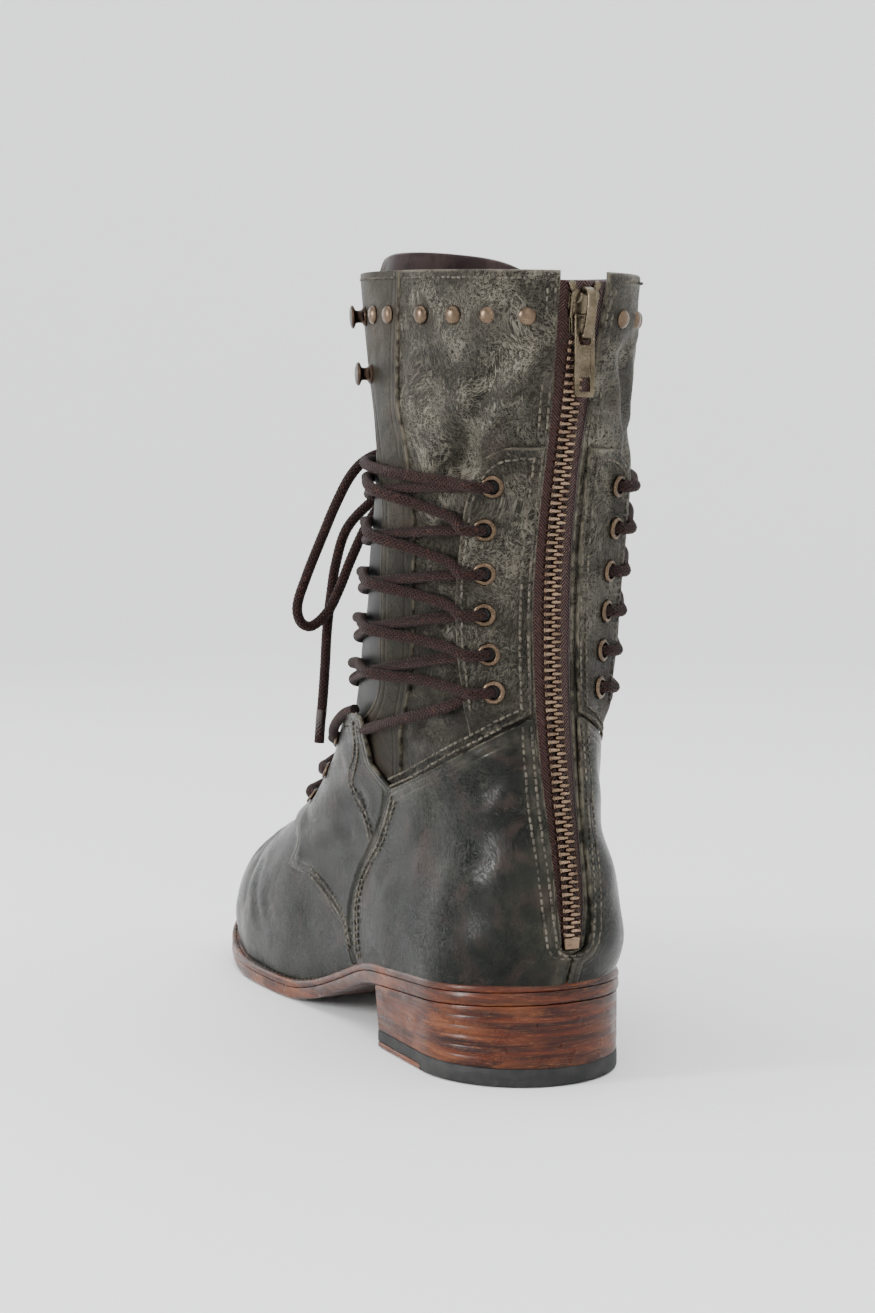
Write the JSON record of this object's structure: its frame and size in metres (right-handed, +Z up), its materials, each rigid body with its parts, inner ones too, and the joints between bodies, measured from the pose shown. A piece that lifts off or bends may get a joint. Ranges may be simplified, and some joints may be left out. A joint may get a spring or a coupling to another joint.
{
  "type": "lace-up boot",
  "caption": "Ankle-high lace-up boot with a back zip, wraparound lacing over a smooth shaft, studded collar, speed hooks and a low stacked leather heel.",
  "frame": {"origin": "bottom centre of the boot's box, measured without the hanging bow, on the plane it stands on", "axes": "+Z up, the toe points towards -Y, the wearer's left is +X"},
  "size_m": [0.098, 0.2878, 0.2881],
  "materials": {
    "stacked_leather": "polished, stacked and burnished",
    "rubber": "matte",
    "insole_leather": "matte",
    "foot_leather": "burnished, semi-gloss",
    "shaft_leather": "crackled, satin",
    "tongue_leather": "satin",
    "zip_tape": "woven herringbone",
    "zip_brass": "aged",
    "antique_brass": "antique, satin",
    "lace_cotton": "waxed round cord"
  },
  "bodies": {
    "boot": {"outsole": "stacked_leather", "heel_stack": "stacked_leather", "lift_tip": "stacked_leather", "welt": "stacked_leather", "half_sole": "rubber", "top_lift": "rubber", "insole": "insole_leather", "upper": "foot_leather", "heel_quarter_lateral": "foot_leather", "heel_quarter_medial": "foot_leather", "front_quarter_lateral": "foot_leather", "front_quarter_medial": "foot_leather", "eyestay_lateral": "shaft_leather", "eyestay_medial": "shaft_leather", "tongue": "tongue_leather", "zip_tape": "zip_tape", "zip_teeth": "zip_brass", "zip_slider": "antique_brass", "eyelet_lateral_1": "antique_brass", "eyelet_lateral_2": "antique_brass", "eyelet_lateral_3": "antique_brass", "eyelet_lateral_4": "antique_brass", "eyelet_lateral_5": "antique_brass", "eyelet_lateral_6": "antique_brass", "eyelet_medial_1": "antique_brass", "eyelet_medial_2": "antique_brass", "eyelet_medial_3": "antique_brass", "eyelet_medial_4": "antique_brass", "eyelet_medial_5": "antique_brass", "eyelet_medial_6": "antique_brass", "lower_eyelet_lateral_1": "antique_brass", "lower_eyelet_lateral_2": "antique_brass", "lower_eyelet_lateral_3": "antique_brass", "lower_eyelet_medial_1": "antique_brass", "lower_eyelet_medial_2": "antique_brass", "lower_eyelet_medial_3": "antique_brass", "stud_lateral_1": "antique_brass", "stud_lateral_2": "antique_brass", "stud_lateral_3": "antique_brass", "stud_lateral_4": "antique_brass", "stud_lateral_5": "antique_brass", "stud_lateral_6": "antique_brass", "stud_medial_1": "antique_brass", "stud_medial_2": "antique_brass", "stud_medial_3": "antique_brass", "stud_medial_4": "antique_brass", "stud_medial_5": "antique_brass", "stud_medial_6": "antique_brass", "hook_lateral_1": "antique_brass", "hook_lateral_2": "antique_brass", "hook_medial_1": "antique_brass", "hook_medial_2": "antique_brass", "lace_upper": "lace_cotton", "lace_lower": "lace_cotton", "lace_knot": "lace_cotton", "lace_loop_lateral": "lace_cotton", "lace_loop_medial": "lace_cotton", "lace_end_lateral": "lace_cotton", "lace_end_medial": "lace_cotton"},
    "zip_pull": {"zip_pull": "antique_brass"}
  },
  "joints": [
    {"name": "zip_pull_hinge", "type": "hinge", "parent": "boot", "child": "zip_pull", "pos_m": [0, 0.14066, 0.25737], "axis": [1, 0, 0], "range_deg": [-12, 160]}
  ]
}
